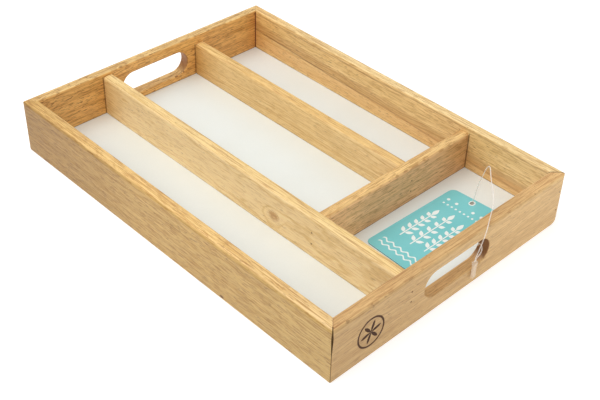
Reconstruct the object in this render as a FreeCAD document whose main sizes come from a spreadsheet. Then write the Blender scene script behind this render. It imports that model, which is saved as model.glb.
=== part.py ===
import FreeCAD, Part
import math
import os
import Sketcher
from FreeCAD import Placement, Rotation, Vector

# A wooden cutlery tray: a mitred frame with a hand slot in each end, a white panel held in
# the frame's grooves, three dividers, the brads that fix them, and a card tag on a nylon loop.
# Frame: +Z up, origin at the middle of the underside, X along the tray. Millimetres.

doc = FreeCAD.newDocument("cutlery_tray")

# ------------------------------------------------------------------ driving sizes
SIZES = [
    ("tray_length", 380.0, "outside length, along X"),
    ("tray_width", 270.0, "outside width, along Y"),
    ("tray_height", 51.0, "height of the frame"),
    ("wall_thick", 10.5, "thickness of the four sides"),
    ("edge_outer", 3.6, "rounding of the top edge, outside"),
    ("edge_inner", 1.4, "rounding of the top edge, inside"),
    ("edge_foot", 1.0, "rounding of the bottom edges"),
    ("ease_front_right", 1.3, "rounding of the upright edge, front right corner"),
    ("ease_front_left", 2.4, "rounding of the upright edge, front left corner"),
    ("ease_back_left", 6.0, "rounding of the upright edge, back left corner"),
    ("ease_back_right", 5.0, "rounding of the upright edge, back right corner"),
    ("foot_back_right", 12.0, "rounding of the lower corner, back right"),
    ("foot_front_left", 5.0, "rounding of the lower corner, front left"),
    ("open_low", 25.0, "open mitre, front right corner: where it starts, Z"),
    ("open_mid", 42.5, "open mitre: where it is widest, Z"),
    ("open_wide", 0.8, "open mitre: most that each side stands back"),
    ("open_top_wide", 0.25, "open mitre: how far each side stands back at the top"),
    ("open_deep", 5.2, "open mitre: depth along the joint, from the corner"),
    ("mitre_gap", 0.07, "how far each side stops short of the corner"),
    ("base_top", 9.6, "height of the white surface above the table"),
    ("base_thick", 3.0, "thickness of the panel"),
    ("base_in", 4.0, "how far the panel goes into a groove"),
    ("groove_deep", 4.6, "depth of the groove"),
    ("groove_play", 0.1, "play above and below the panel"),
    ("divider_thick", 10.5, "thickness of the dividers"),
    ("divider_round", 2.8, "rounding of the dividers' top edges"),
    ("divider_ease", 0.5, "bevel of the dividers' end edges"),
    ("divider_gap", 0.1, "gap between a divider's end and the wood it meets"),
    ("long_top", 48.0, "top of the long divider above the table"),
    ("short_top", 42.3, "top of the short divider above the table"),
    ("cross_top", 45.3, "top of the cross divider above the table"),
    ("long_mid", -52.95, "Y of the long divider's middle"),
    ("short_mid", 52.55, "Y of the short divider's middle"),
    ("cross_mid", 90.65, "X of the cross divider's middle"),
    ("slot_wide", 75.0, "length of a hand slot"),
    ("slot_high", 24.3, "height of a hand slot"),
    ("slot_mid", 28.0, "height of a hand slot's middle"),
    ("slot_round", 1.2, "rounding of a hand slot's rims"),
    ("brad_dia", 1.2, "brad shank"),
    ("brad_head_dia", 1.7, "brad head"),
    ("brad_head_high", 0.8, "brad head height"),
    ("brad_sink", 0.3, "how far a brad's head is set below the surface"),
    ("brad_long", 25.0, "depth of a brad's point below the surface"),
    ("brad_point", 1.6, "length of a brad's point"),
    ("hole_dia", 1.24, "hole around a brad's shank"),
    ("head_hole_dia", 1.74, "hole around a brad's head"),
    ("corner_pin_in", 6.2, "corner brads: distance from the long side's outer face"),
    ("corner_pin_low", 15.4, "corner brads: height of the lower one"),
    ("corner_pin_gap", 18.6, "corner brads: distance between the two"),
    ("long_pin_low", 26.3, "long divider's brads: height of the lower one"),
    ("long_pin_gap", 10.1, "long divider's brads: distance between the two"),
    ("cross_pin_low", 22.2, "cross divider's brads: height of the lower one"),
    ("cross_pin_gap", 11.0, "cross divider's brads: distance between the two"),
    ("short_pin_low", 20.0, "short divider's brads: height of the lower one"),
    ("short_pin_gap", 11.0, "short divider's brads: distance between the two"),
    ("tag_wide", 52.0, "card tag width"),
    ("tag_long", 104.0, "card tag length"),
    ("tag_thick", 0.5, "card tag thickness"),
    ("tag_corner", 5.5, "card tag corner radius"),
    ("tag_flat", 15.0, "stretch of the tag that lies flat"),
    ("tag_bend", 880.0, "radius of the tag's curl"),
    ("tag_hole", 4.0, "punched hole"),
    ("tag_hole_in", 5.0, "hole's middle from the tag's far edge"),
    ("tag_near_x", 132.96, "X of the middle of the tag's near edge"),
    ("tag_near_y", -14.46, "Y of the middle of the tag's near edge"),
    ("tag_turn", -2.2, "turn of the tag about Z, degrees"),
    ("tag_gap", 0.05, "gap between the tag and the panel"),
    ("strand_dia", 0.9, "nylon strand"),
    ("lock_wide", 4.0, "lock: width along Y"),
    ("lock_deep", 2.6, "lock: thickness along X"),
    ("lock_long", 15.5, "lock: height"),
    ("lock_round", 0.9, "lock: rounding of its upright edges"),
    ("lock_collar", 2.2, "lock: height of the collar at its top"),
    ("lock_collar_out", 0.35, "lock: how far the collar stands out"),
    ("lock_x", 192.0, "lock: middle, X"),
    ("lock_y", 18.7, "lock: middle, Y"),
    ("lock_top", 24.0, "lock: top, Z"),
]

sheet = doc.addObject("Spreadsheet::Sheet", "Sizes")
for row, (alias, value, note) in enumerate(SIZES, 1):
    sheet.set("A%d" % row, alias)
    sheet.set("B%d" % row, "%g" % value)
    sheet.set("C%d" % row, note)
    sheet.setAlias("B%d" % row, alias)
doc.recompute()


class Size:
    """A size made from the sheet's cells: the text of its expression and its present number."""

    def __init__(self, text, value):
        self.text = text
        self.value = float(value)

    @staticmethod
    def of(other):
        return other if isinstance(other, Size) else Size("%r" % float(other), other)

    def __add__(self, other):
        o = Size.of(other)
        return Size("(%s + %s)" % (self.text, o.text), self.value + o.value)

    def __sub__(self, other):
        o = Size.of(other)
        return Size("(%s - %s)" % (self.text, o.text), self.value - o.value)

    def __mul__(self, other):
        o = Size.of(other)
        return Size("(%s * %s)" % (self.text, o.text), self.value * o.value)

    def __truediv__(self, other):
        o = Size.of(other)
        return Size("(%s / %s)" % (self.text, o.text), self.value / o.value)

    def __neg__(self):
        return Size("(0 - %s)" % self.text, -self.value)


def cell(alias):
    return Size("Sizes.%s" % alias, float(sheet.get(alias)))


ZERO = Size("0", 0.0)

length = cell("tray_length")
width = cell("tray_width")
height = cell("tray_height")
wall = cell("wall_thick")
base_top = cell("base_top")
thick = cell("divider_thick")
gap = cell("divider_gap")
inner_x = length / 2 - wall
inner_y = width / 2 - wall
corner_in = cell("corner_pin_in")
brad_long = cell("brad_long")
brad_sink = cell("brad_sink")
head_depth = brad_sink + cell("brad_head_high")


# ------------------------------------------------------------------ helpers
def bind(obj, prop, size):
    obj.setExpression(prop, Size.of(size).text)


def place(obj, x, y, z, rotation=None):
    """Puts a sub-part where it belongs. Its position stays bound to the sheet."""
    base = Vector(Size.of(x).value, Size.of(y).value, Size.of(z).value)
    obj.Placement = Placement(base, rotation or Rotation())
    bind(obj, "Placement.Base.x", x)
    bind(obj, "Placement.Base.y", y)
    bind(obj, "Placement.Base.z", z)


def new_body(label):
    body = doc.addObject("PartDesign::Body", label)
    body.Label = label
    return body


def new_sketch(body, name, role, offset=None):
    sketch = body.newObject("Sketcher::SketchObject", name)
    plane = [f for f in body.Origin.OriginFeatures if f.Role == role][0]
    sketch.AttachmentSupport = [(plane, "")]
    sketch.MapMode = "FlatFace"
    if offset is not None:
        sketch.AttachmentOffset = Placement(Vector(0, 0, offset.value), Rotation())
        bind(sketch, "AttachmentOffset.Base.z", offset)
    return sketch


def hold_x(sketch, geo, pos, x):
    x = Size.of(x)
    if abs(x.value) < 1e-9:
        sketch.addConstraint(Sketcher.Constraint("PointOnObject", geo, pos, -2))
    elif x.value > 0:
        n = sketch.addConstraint(Sketcher.Constraint("DistanceX", -1, 1, geo, pos, x.value))
        bind(sketch, "Constraints[%d]" % n, x)
    else:
        n = sketch.addConstraint(Sketcher.Constraint("DistanceX", geo, pos, -1, 1, -x.value))
        bind(sketch, "Constraints[%d]" % n, -x)


def hold_y(sketch, geo, pos, y):
    y = Size.of(y)
    if abs(y.value) < 1e-9:
        sketch.addConstraint(Sketcher.Constraint("PointOnObject", geo, pos, -1))
    elif y.value > 0:
        n = sketch.addConstraint(Sketcher.Constraint("DistanceY", -1, 1, geo, pos, y.value))
        bind(sketch, "Constraints[%d]" % n, y)
    else:
        n = sketch.addConstraint(Sketcher.Constraint("DistanceY", geo, pos, -1, 1, -y.value))
        bind(sketch, "Constraints[%d]" % n, -y)


def hold(sketch, geo, pos, x, y):
    hold_x(sketch, geo, pos, x)
    hold_y(sketch, geo, pos, y)


def join(sketch, a, b):
    """The end of one edge meets the start of the next."""
    sketch.addConstraint(Sketcher.Constraint("Coincident", a, 2, b, 1))


def line(sketch, a, b):
    start = Vector(Size.of(a[0]).value, Size.of(a[1]).value, 0)
    end = Vector(Size.of(b[0]).value, Size.of(b[1]).value, 0)
    return sketch.addGeometry(Part.LineSegment(start, end), False)


def polygon(sketch, corners):
    """A closed outline whose corners are held at sizes from the sheet."""
    n = len(corners)
    edges = [line(sketch, corners[i], corners[(i + 1) % n]) for i in range(n)]
    for i in range(n):
        join(sketch, edges[i], edges[(i + 1) % n])
    for i in range(n):
        hold(sketch, edges[i], 1, corners[i][0], corners[i][1])
    return edges


def circle(sketch, x, y, diameter):
    x, y, d = Size.of(x), Size.of(y), Size.of(diameter)
    geo = sketch.addGeometry(Part.Circle(Vector(x.value, y.value, 0), Vector(0, 0, 1), d.value / 2), False)
    hold(sketch, geo, 3, x, y)
    n = sketch.addConstraint(Sketcher.Constraint("Diameter", geo, d.value))
    bind(sketch, "Constraints[%d]" % n, d)


def pad(body, name, sketch, size, symmetric=False, reverse=False):
    feature = body.newObject("PartDesign::Pad", name)
    feature.Profile = sketch
    feature.Length = size.value
    bind(feature, "Length", size)
    if symmetric:
        feature.SideType = "Symmetric"
    feature.Reversed = reverse
    doc.recompute()
    return feature


def pocket(body, name, sketch, size, symmetric=False, reverse=False):
    before = body.Shape.Volume
    feature = body.newObject("PartDesign::Pocket", name)
    feature.Profile = sketch
    feature.Type = "Length"
    feature.Length = size.value
    bind(feature, "Length", size)
    if symmetric:
        feature.SideType = "Symmetric"
    feature.Reversed = reverse
    doc.recompute()
    cut = before - body.Shape.Volume
    if cut < 1e-3:
        raise RuntimeError("%s cuts nothing out of %s" % (name, body.Label))
    return feature


def edges_where(feature, test):
    """Names of the edges whose every end and middle point passes the test."""
    names = []
    for i, edge in enumerate(feature.Shape.Edges, 1):
        points = [v.Point for v in edge.Vertexes] + [edge.valueAt((edge.FirstParameter + edge.LastParameter) / 2)]
        if all(test(p) for p in points):
            names.append("Edge%d" % i)
    return names


def soften(body, kind, name, feature, test, size, count):
    names = edges_where(feature, test)
    if len(names) != count:
        raise RuntimeError("%s of %s: %d edges found, %d wanted" % (name, body.Label, len(names), count))
    made = body.newObject("PartDesign::" + kind, name)
    made.Base = (feature, names)
    prop = "Radius" if kind == "Fillet" else "Size"
    setattr(made, prop, size.value)
    bind(made, prop, size)
    doc.recompute()
    return made


def near(a, b):
    return abs(a - b) < 1e-4


def brad_holes(body, name, role, offset, points, through, reverse=False):
    """Holes for brads driven in from a face: room for each head, then room for its shank."""
    sketch = new_sketch(body, name + "_heads", role, offset)
    for x, z in points:
        circle(sketch, x, z, cell("head_hole_dia"))
    pocket(body, name + "_head_holes", sketch, head_depth, reverse=reverse)
    sketch = new_sketch(body, name + "_shanks", role, offset)
    for x, z in points:
        circle(sketch, x, z, cell("hole_dia"))
    pocket(body, name + "_shank_holes", sketch, through, reverse=reverse)


def pilot_holes(body, name, role, offset, points, depth, reverse=False):
    sketch = new_sketch(body, name, role, offset)
    for x, z in points:
        circle(sketch, x, z, cell("hole_dia"))
    pocket(body, name + "_cut", sketch, depth, reverse=reverse)


def pair(x, low, spacing):
    """Two brads, one above the other."""
    return [(x, low), (x, low + spacing)]


# ------------------------------------------------------------------ the four sides
# Each side lies along its own X, outer face at y = 0, inner face at y = wall_thick. eases are the
# roundings of the upright edges at its plus and minus ends; foot is the end, 1 or -1, whose lower
# corner is worn round, with its radius; open_end is the end whose mitre stands open near the top.
def side(label, size, eases, foot=None, slot=False, open_end=0):
    body = new_body(label)
    floor_of_groove = base_top - cell("base_thick") - cell("groove_play")
    roof_of_groove = base_top + cell("groove_play")
    profile = new_sketch(body, label + "_profile", "YZ_Plane")
    polygon(profile, [
        (ZERO, ZERO), (wall, ZERO), (wall, floor_of_groove),
        (wall - cell("groove_deep"), floor_of_groove), (wall - cell("groove_deep"), roof_of_groove),
        (wall, roof_of_groove), (wall, height), (ZERO, height)])
    bar = pad(body, label + "_bar", profile, size, symmetric=True)

    top_out = soften(body, "Fillet", label + "_top_outer_edge", bar,
                     lambda p: near(p.y, 0) and near(p.z, height.value), cell("edge_outer"), 1)
    top_in = soften(body, "Fillet", label + "_top_inner_edge", top_out,
                    lambda p: near(p.y, wall.value) and near(p.z, height.value), cell("edge_inner"), 1)
    soften(body, "Fillet", label + "_foot_edges", top_in,
           lambda p: (near(p.y, 0) or near(p.y, wall.value)) and near(p.z, 0), cell("edge_foot"), 2)

    # 45 degree mitres, with the frame's upright corner rounded
    half = size / 2 - cell("mitre_gap")
    over = wall + 2
    mitre = new_sketch(body, label + "_mitre_sketch", "XY_Plane")
    for sign in (1, -1):
        def sx(value):
            return value if sign > 0 else -value
        ease = cell(eases[0] if sign > 0 else eases[1])
        tangent = half - ease
        meet = half - ease + ease * 0.70710678
        centre = Vector(sx(tangent).value, ease.value, 0)
        if sign > 0:
            angles = (-math.pi / 2, -math.pi / 4)
        else:
            angles = (-3 * math.pi / 4, -math.pi / 2)
        arc = mitre.addGeometry(Part.ArcOfCircle(Part.Circle(centre, Vector(0, 0, 1), ease.value), *angles), False)
        at_face, at_mitre = (1, 2) if sign > 0 else (2, 1)
        points = [
            (sx(meet), ease - ease * 0.70710678), (sx(half - over), over), (sx(half + 2), over),
            (sx(half + 2), Size.of(-2)), (sx(tangent), Size.of(-2)), (sx(tangent), ZERO)]
        lines = [line(mitre, points[i], points[i + 1]) for i in range(5)]
        mitre.addConstraint(Sketcher.Constraint("Coincident", arc, at_mitre, lines[0], 1))
        for i in range(4):
            join(mitre, lines[i], lines[i + 1])
        mitre.addConstraint(Sketcher.Constraint("Coincident", lines[4], 2, arc, at_face))
        for i in range(4):
            hold(mitre, lines[i], 2, points[i + 1][0], points[i + 1][1])
        hold(mitre, arc, at_face, sx(tangent), ZERO)
        hold(mitre, arc, 3, sx(tangent), ease)
        hold_x(mitre, arc, at_mitre, sx(meet))
    pocket(body, label + "_mitres", mitre, height * 2.5, symmetric=True)

    if foot:
        # the lower corner, worn round
        end, r = foot[0], cell(foot[1])

        def fx(value):
            return value if end > 0 else -value
        worn = new_sketch(body, label + "_worn_corner_sketch", "XZ_Plane")
        middle = Vector(fx(half - r).value, r.value, 0)
        turns = (-math.pi / 2, 0) if end > 0 else (math.pi, 3 * math.pi / 2)
        arc = worn.addGeometry(Part.ArcOfCircle(Part.Circle(middle, Vector(0, 0, 1), r.value), *turns), False)
        at_foot, at_side = (1, 2) if end > 0 else (2, 1)
        spots = [(fx(half), r), (fx(half + 2), r), (fx(half + 2), Size.of(-2)), (fx(half - r), Size.of(-2)), (fx(half - r), ZERO)]
        lines = [line(worn, spots[i], spots[i + 1]) for i in range(4)]
        worn.addConstraint(Sketcher.Constraint("Coincident", arc, at_side, lines[0], 1))
        for i in range(3):
            join(worn, lines[i], lines[i + 1])
        worn.addConstraint(Sketcher.Constraint("Coincident", lines[3], 2, arc, at_foot))
        for i in range(3):
            hold(worn, lines[i], 2, spots[i + 1][0], spots[i + 1][1])
        hold(worn, arc, at_foot, fx(half - r), ZERO)
        hold(worn, arc, 3, fx(half - r), r)
        hold_y(worn, arc, at_side, r)
        pocket(body, label + "_worn_corner", worn, wall * 2.5, symmetric=True)

    if open_end:
        # a tapered slice off the mitre's face, so that the joint gapes towards its top
        def ox(value):
            return value if open_end > 0 else -value
        gape = new_sketch(body, label + "_open_mitre_sketch", "XZ_Plane")
        gape.AttachmentOffset = Placement(Vector(ox(half).value, 0, 0), Rotation(Vector(0, 1, 0), 45 * open_end))
        bind(gape, "AttachmentOffset.Base.x", ox(half))
        polygon(gape, [
            (ox(Size.of(1)), cell("open_low")), (ox(Size.of(1)), height + 1),
            (ox(-cell("open_top_wide")), height + 1), (ox(-cell("open_wide")), cell("open_mid")),
            (ZERO, cell("open_low"))])
        pocket(body, label + "_open_mitre", gape, cell("open_deep") * 2, symmetric=True)

    if slot:
        # a hand slot with round ends, its rims rounded
        r = cell("slot_high") / 2
        reach = cell("slot_wide") / 2 - r
        mid = cell("slot_mid")
        hole = new_sketch(body, label + "_slot_sketch", "XZ_Plane")
        right = hole.addGeometry(Part.ArcOfCircle(Part.Circle(Vector(reach.value, mid.value, 0), Vector(0, 0, 1), r.value), -math.pi / 2, math.pi / 2), False)
        left = hole.addGeometry(Part.ArcOfCircle(Part.Circle(Vector(-reach.value, mid.value, 0), Vector(0, 0, 1), r.value), math.pi / 2, 3 * math.pi / 2), False)
        over_line = line(hole, (reach, mid + r), (-reach, mid + r))
        under_line = line(hole, (-reach, mid - r), (reach, mid - r))
        for a, pa, b, pb in ((right, 2, over_line, 1), (over_line, 2, left, 1), (left, 2, under_line, 1), (under_line, 2, right, 1)):
            hole.addConstraint(Sketcher.Constraint("Tangent", a, pa, b, pb))
        hold(hole, right, 3, reach, mid)
        hold(hole, left, 3, -reach, mid)
        n = hole.addConstraint(Sketcher.Constraint("Radius", right, r.value))
        bind(hole, "Constraints[%d]" % n, r)
        cut = pocket(body, label + "_slot", hole, wall * 2.5, symmetric=True)
        low, high = mid.value - r.value - 1e-3, mid.value + r.value + 1e-3
        ends = reach.value + r.value + 1e-3
        soften(body, "Fillet", label + "_slot_rims", cut,
               lambda p: (near(p.y, 0) or near(p.y, wall.value)) and low < p.z < high and abs(p.x) < ends,
               cell("slot_round"), 8)
    return body


corner_heights = (cell("corner_pin_low"), cell("corner_pin_gap"))
long_heights = (cell("long_pin_low"), cell("long_pin_gap"))
cross_heights = (cell("cross_pin_low"), cell("cross_pin_gap"))
short_heights = (cell("short_pin_low"), cell("short_pin_gap"))

front_long_side = side("front_long_side", length, ("ease_front_right", "ease_front_left"),
                       foot=(-1, "foot_front_left"), open_end=1)
back_long_side = side("back_long_side", length, ("ease_back_left", "ease_back_right"),
                      foot=(-1, "foot_back_right"))
left_end = side("left_end", width, ("ease_front_left", "ease_back_left"),
                foot=(1, "foot_front_left"), slot=True)
right_end = side("right_end", width, ("ease_back_right", "ease_front_right"),
                 foot=(1, "foot_back_right"), slot=True, open_end=-1)

# the corner brads go in through the ends and on into the long sides
clear_through = wall + 1
tip_room = brad_long + 0.2
for body in (front_long_side, back_long_side):
    start = length / 2 - tip_room
    pilot_holes(body, body.Label + "_plus_pilots", "YZ_Plane", start, pair(corner_in, *corner_heights), tip_room, reverse=True)
    pilot_holes(body, body.Label + "_minus_pilots", "YZ_Plane", -start, pair(corner_in, *corner_heights), tip_room)

corner_x = width / 2 - corner_in
brad_holes(right_end, "right_end_brads", "XZ_Plane", ZERO,
           pair(corner_x, *corner_heights) + pair(-corner_x, *corner_heights)
           + pair(cell("long_mid"), *long_heights), clear_through)
brad_holes(left_end, "left_end_brads", "XZ_Plane", ZERO,
           pair(corner_x, *corner_heights) + pair(-corner_x, *corner_heights)
           + pair(-cell("long_mid"), *long_heights) + pair(-cell("short_mid"), *short_heights), clear_through)
brad_holes(back_long_side, "back_side_brads", "XZ_Plane", ZERO,
           pair(-cell("cross_mid"), *cross_heights), clear_through)

place(front_long_side, ZERO, -(width / 2), ZERO)
place(back_long_side, ZERO, width / 2, ZERO, Rotation(Vector(0, 0, 1), 180))
place(right_end, length / 2, ZERO, ZERO, Rotation(Vector(0, 0, 1), 90))
place(left_end, -(length / 2), ZERO, ZERO, Rotation(Vector(0, 0, 1), -90))

# ------------------------------------------------------------------ the white panel
base_panel = new_body("base_panel")
outline = new_sketch(base_panel, "base_panel_outline", "XY_Plane")
px = inner_x + cell("base_in")
py = inner_y + cell("base_in")
polygon(outline, [(-px, -py), (px, -py), (px, py), (-px, py)])
pad(base_panel, "base_panel_sheet", outline, cell("base_thick"))
place(base_panel, ZERO, ZERO, base_top - cell("base_thick"))


# ------------------------------------------------------------------ the three dividers
# Each lies along its own X from x = 0, its thickness centred on y = 0, its foot at z = 0.
def divider(label, size, top):
    body = new_body(label)
    tall = top - base_top
    half = thick / 2
    profile = new_sketch(body, label + "_profile", "YZ_Plane")
    polygon(profile, [(-half, ZERO), (half, ZERO), (half, tall), (-half, tall)])
    bar = pad(body, label + "_bar", profile, size)
    tops = soften(body, "Fillet", label + "_top_edges", bar,
                  lambda p: near(p.z, tall.value) and near(abs(p.y), half.value), cell("divider_round"), 2)
    soften(body, "Chamfer", label + "_end_edges", tops,
           lambda p: (near(p.x, 0) or near(p.x, size.value)) and (p.z > 1e-4 or near(abs(p.y), half.value)),
           cell("divider_ease"), 10)
    return body


pilot = tip_room - wall
long_length = inner_x * 2 - gap * 2
long_divider = divider("long_divider", long_length, cell("long_top"))
low = cell("long_pin_low") - base_top
for name, offset, back in (("left", ZERO, True), ("right", long_length, False)):
    pilot_holes(long_divider, "long_divider_%s_pilots" % name, "YZ_Plane", offset, pair(ZERO, low, cell("long_pin_gap")), pilot, reverse=back)
long_start = -inner_x + gap
brad_holes(long_divider, "long_divider_cross_brads", "XZ_Plane", thick / 2,
           pair(cell("cross_mid") - long_start, cell("cross_pin_low") - base_top, cell("cross_pin_gap")), clear_through)
place(long_divider, long_start, cell("long_mid"), base_top)

cross_start = cell("long_mid") + thick / 2 + gap
cross_length = inner_y - cross_start - gap
cross_divider = divider("cross_divider", cross_length, cell("cross_top"))
low = cell("cross_pin_low") - base_top
for name, offset, back in (("front", ZERO, True), ("back", cross_length, False)):
    pilot_holes(cross_divider, "cross_divider_%s_pilots" % name, "YZ_Plane", offset, pair(ZERO, low, cell("cross_pin_gap")), pilot, reverse=back)
brad_holes(cross_divider, "cross_divider_short_brads", "XZ_Plane", thick / 2,
           pair(cell("short_mid") - cross_start, cell("short_pin_low") - base_top, cell("short_pin_gap")), clear_through)
place(cross_divider, cell("cross_mid"), cross_start, base_top, Rotation(Vector(0, 0, 1), 90))

short_length = cell("cross_mid") - thick / 2 - gap * 2 + inner_x
short_divider = divider("short_divider", short_length, cell("short_top"))
low = cell("short_pin_low") - base_top
for name, offset, back in (("left", ZERO, True), ("right", short_length, False)):
    pilot_holes(short_divider, "short_divider_%s_pilots" % name, "YZ_Plane", offset, pair(ZERO, low, cell("short_pin_gap")), pilot, reverse=back)
place(short_divider, -inner_x + gap, cell("short_mid"), base_top)


# ------------------------------------------------------------------ the brads, two to a joint
def brad(name, rise):
    """One brad along its own Z: head, shank and point. z = 0 is the surface of the wood."""
    head = doc.addObject("Part::Cylinder", name + "_head")
    bind(head, "Radius", cell("brad_head_dia") / 2)
    bind(head, "Height", cell("brad_head_high"))
    place(head, ZERO, rise, brad_sink)
    shank = doc.addObject("Part::Cylinder", name + "_shank")
    bind(shank, "Radius", cell("brad_dia") / 2)
    bind(shank, "Height", brad_long - cell("brad_point") - head_depth)
    place(shank, ZERO, rise, head_depth)
    point = doc.addObject("Part::Cone", name + "_point")
    bind(point, "Radius1", cell("brad_dia") / 2)
    point.Radius2 = 0.15
    bind(point, "Height", cell("brad_point"))
    place(point, ZERO, rise, brad_long - cell("brad_point"))
    whole = doc.addObject("Part::MultiFuse", name)
    whole.Shapes = [head, shank, point]
    return whole


DIRECTIONS = {
    "+X": Rotation(Vector(0, 1, 0), Vector(0, 0, 1), Vector(1, 0, 0), "ZXY"),
    "-X": Rotation(Vector(0, -1, 0), Vector(0, 0, 1), Vector(-1, 0, 0), "ZXY"),
    "+Y": Rotation(Vector(-1, 0, 0), Vector(0, 0, 1), Vector(0, 1, 0), "ZXY"),
    "-Y": Rotation(Vector(1, 0, 0), Vector(0, 0, 1), Vector(0, -1, 0), "ZXY"),
}


def brads(label, direction, x, y, heights):
    low, spacing = heights
    pieces = [brad(label + "_lower", ZERO), brad(label + "_upper", spacing)]
    group = doc.addObject("Part::Compound", label)
    group.Label = label
    group.Links = pieces
    place(group, x, y, low, DIRECTIONS[direction])
    return group


half_x, half_y = length / 2, width / 2
pin_groups = [
    brads("brads_corner_front_left", "+X", -half_x, corner_in - half_y, corner_heights),
    brads("brads_corner_front_right", "-X", half_x, corner_in - half_y, corner_heights),
    brads("brads_corner_back_left", "+X", -half_x, half_y - corner_in, corner_heights),
    brads("brads_corner_back_right", "-X", half_x, half_y - corner_in, corner_heights),
    brads("brads_long_divider_left", "+X", -half_x, cell("long_mid"), long_heights),
    brads("brads_long_divider_right", "-X", half_x, cell("long_mid"), long_heights),
    brads("brads_short_divider_left", "+X", -half_x, cell("short_mid"), short_heights),
    brads("brads_short_divider_cross", "-X", cell("cross_mid") + thick / 2, cell("short_mid"), short_heights),
    brads("brads_cross_divider_front", "+Y", cell("cross_mid"), cell("long_mid") - thick / 2, cross_heights),
    brads("brads_cross_divider_back", "-Y", cell("cross_mid"), half_y, cross_heights),
]

# ------------------------------------------------------------------ the card tag
# Its near edge is along its own X at y = 0; it lies flat, then curls up towards its far edge.
hang_tag = new_body("hang_tag")
strip = new_sketch(hang_tag, "hang_tag_side_view", "YZ_Plane")
flat, bend, card, far = cell("tag_flat"), cell("tag_bend"), cell("tag_thick"), cell("tag_long")
turn = math.asin((far.value - flat.value) / bend.value)
tip = Vector(far.value, bend.value * (1 - math.cos(turn)), 0)
inner = bend.value - card.value
tip_top = Vector(flat.value + inner * math.sin(turn), bend.value - inner * math.cos(turn), 0)
centre = Vector(flat.value, bend.value, 0)
under = line(strip, (ZERO, ZERO), (flat, ZERO))
curl = strip.addGeometry(Part.ArcOfCircle(Part.Circle(centre, Vector(0, 0, 1), bend.value), -math.pi / 2, -math.pi / 2 + turn), False)
end = strip.addGeometry(Part.LineSegment(tip, tip_top), False)
curl_top = strip.addGeometry(Part.ArcOfCircle(Part.Circle(centre, Vector(0, 0, 1), inner), -math.pi / 2, -math.pi / 2 + turn), False)
upper = line(strip, (flat, card), (ZERO, card))
near_end = line(strip, (ZERO, card), (ZERO, ZERO))
join(strip, under, curl)
join(strip, curl, end)
strip.addConstraint(Sketcher.Constraint("Coincident", end, 2, curl_top, 2))
strip.addConstraint(Sketcher.Constraint("Coincident", curl_top, 1, upper, 1))
join(strip, upper, near_end)
join(strip, near_end, under)
hold(strip, under, 1, ZERO, ZERO)
hold(strip, under, 2, flat, ZERO)
hold(strip, curl, 3, flat, bend)
hold_x(strip, curl, 2, far)
strip.addConstraint(Sketcher.Constraint("Coincident", curl_top, 3, curl, 3))
strip.addConstraint(Sketcher.Constraint("PointOnObject", curl, 3, end))
hold(strip, upper, 1, flat, card)
hold(strip, near_end, 1, ZERO, card)
sheet_of_card = pad(hang_tag, "hang_tag_card", strip, cell("tag_wide"), symmetric=True)
half_tag = cell("tag_wide").value / 2
soften(hang_tag, "Fillet", "hang_tag_corners", sheet_of_card,
       lambda p: near(abs(p.x), half_tag) and (p.y < 0.1 or p.y > far.value - 0.2), cell("tag_corner"), 4)
punch = new_sketch(hang_tag, "hang_tag_punch", "XY_Plane")
circle(punch, ZERO, far - cell("tag_hole_in"), cell("tag_hole"))
pocket(hang_tag, "hang_tag_hole", punch, Size.of(40), symmetric=True)
place(hang_tag, cell("tag_near_x"), cell("tag_near_y"), base_top + cell("tag_gap"),
      Rotation(Vector(0, 0, 1), float(sheet.get("tag_turn"))))

# ------------------------------------------------------------------ the loop's lock
lock = new_body("tag_loop_lock")
lock_x, lock_y = cell("lock_deep") / 2, cell("lock_wide") / 2
outline = new_sketch(lock, "tag_loop_lock_outline", "XY_Plane")
polygon(outline, [(-lock_x, -lock_y), (lock_x, -lock_y), (lock_x, lock_y), (-lock_x, lock_y)])
block = pad(lock, "tag_loop_lock_block", outline, cell("lock_long"))
soft = soften(lock, "Fillet", "tag_loop_lock_edges", block,
              lambda p: near(abs(p.x), lock_x.value) and near(abs(p.y), lock_y.value), cell("lock_round"), 4)
foot = soften(lock, "Fillet", "tag_loop_lock_foot", soft, lambda p: near(p.z, 0), Size.of(0.6), 8)
out = cell("lock_collar_out")
outline = new_sketch(lock, "tag_loop_lock_collar_outline", "XY_Plane", cell("lock_long") - cell("lock_collar"))
polygon(outline, [(-lock_x - out, -lock_y - out), (lock_x + out, -lock_y - out), (lock_x + out, lock_y + out), (-lock_x - out, lock_y + out)])
collar = pad(lock, "tag_loop_lock_collar", outline, cell("lock_collar"))
soften(lock, "Fillet", "tag_loop_lock_collar_edges", collar,
       lambda p: near(abs(p.x), (lock_x + out).value) and near(abs(p.y), (lock_y + out).value), cell("lock_round"), 4)
place(lock, cell("lock_x"), cell("lock_y"), cell("lock_top") - cell("lock_long"))

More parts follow.
